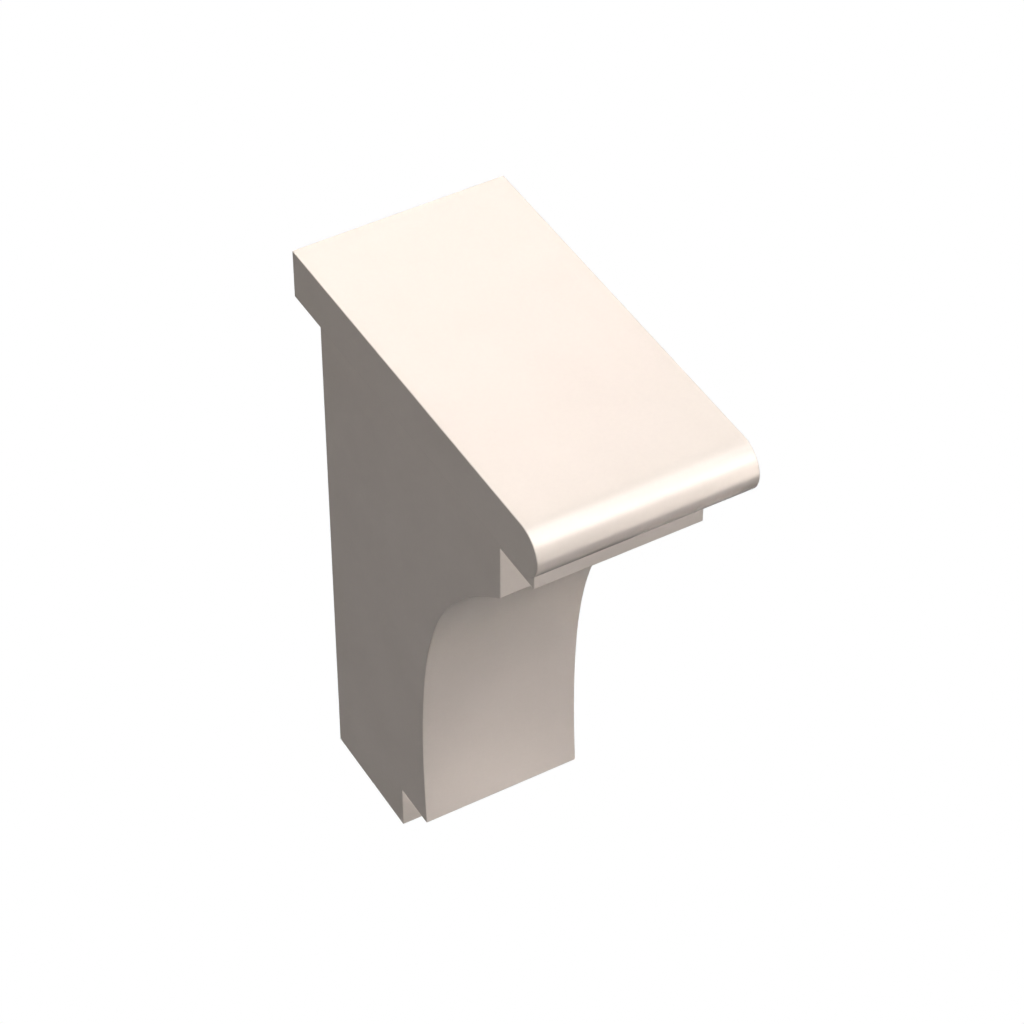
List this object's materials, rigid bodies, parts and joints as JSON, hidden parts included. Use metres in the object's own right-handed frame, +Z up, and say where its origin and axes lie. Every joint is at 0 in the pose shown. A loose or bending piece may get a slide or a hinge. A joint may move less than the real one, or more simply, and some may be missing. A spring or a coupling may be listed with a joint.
{
  "type": "decorative corbel",
  "caption": "Plain wall corbel: a flat shelf slab with a half-round front edge on a narrower body that steps back in bands and sweeps down in a long cove to a toe and heel.",
  "frame": {"origin": "middle of the flat back, halfway up, where the corbel meets the wall", "axes": "+Z up; +Y out of the back, into the wall, so the front faces -Y; +X along the wall, to the right as seen from the front"},
  "size_m": [0.1016, 0.2032, 0.3048],
  "materials": {
    "painted_plaster": "smooth cast plaster under a warm off-white satin paint"
  },
  "bodies": {
    "root": {"corbel": "painted_plaster"}
  },
  "joints": []
}
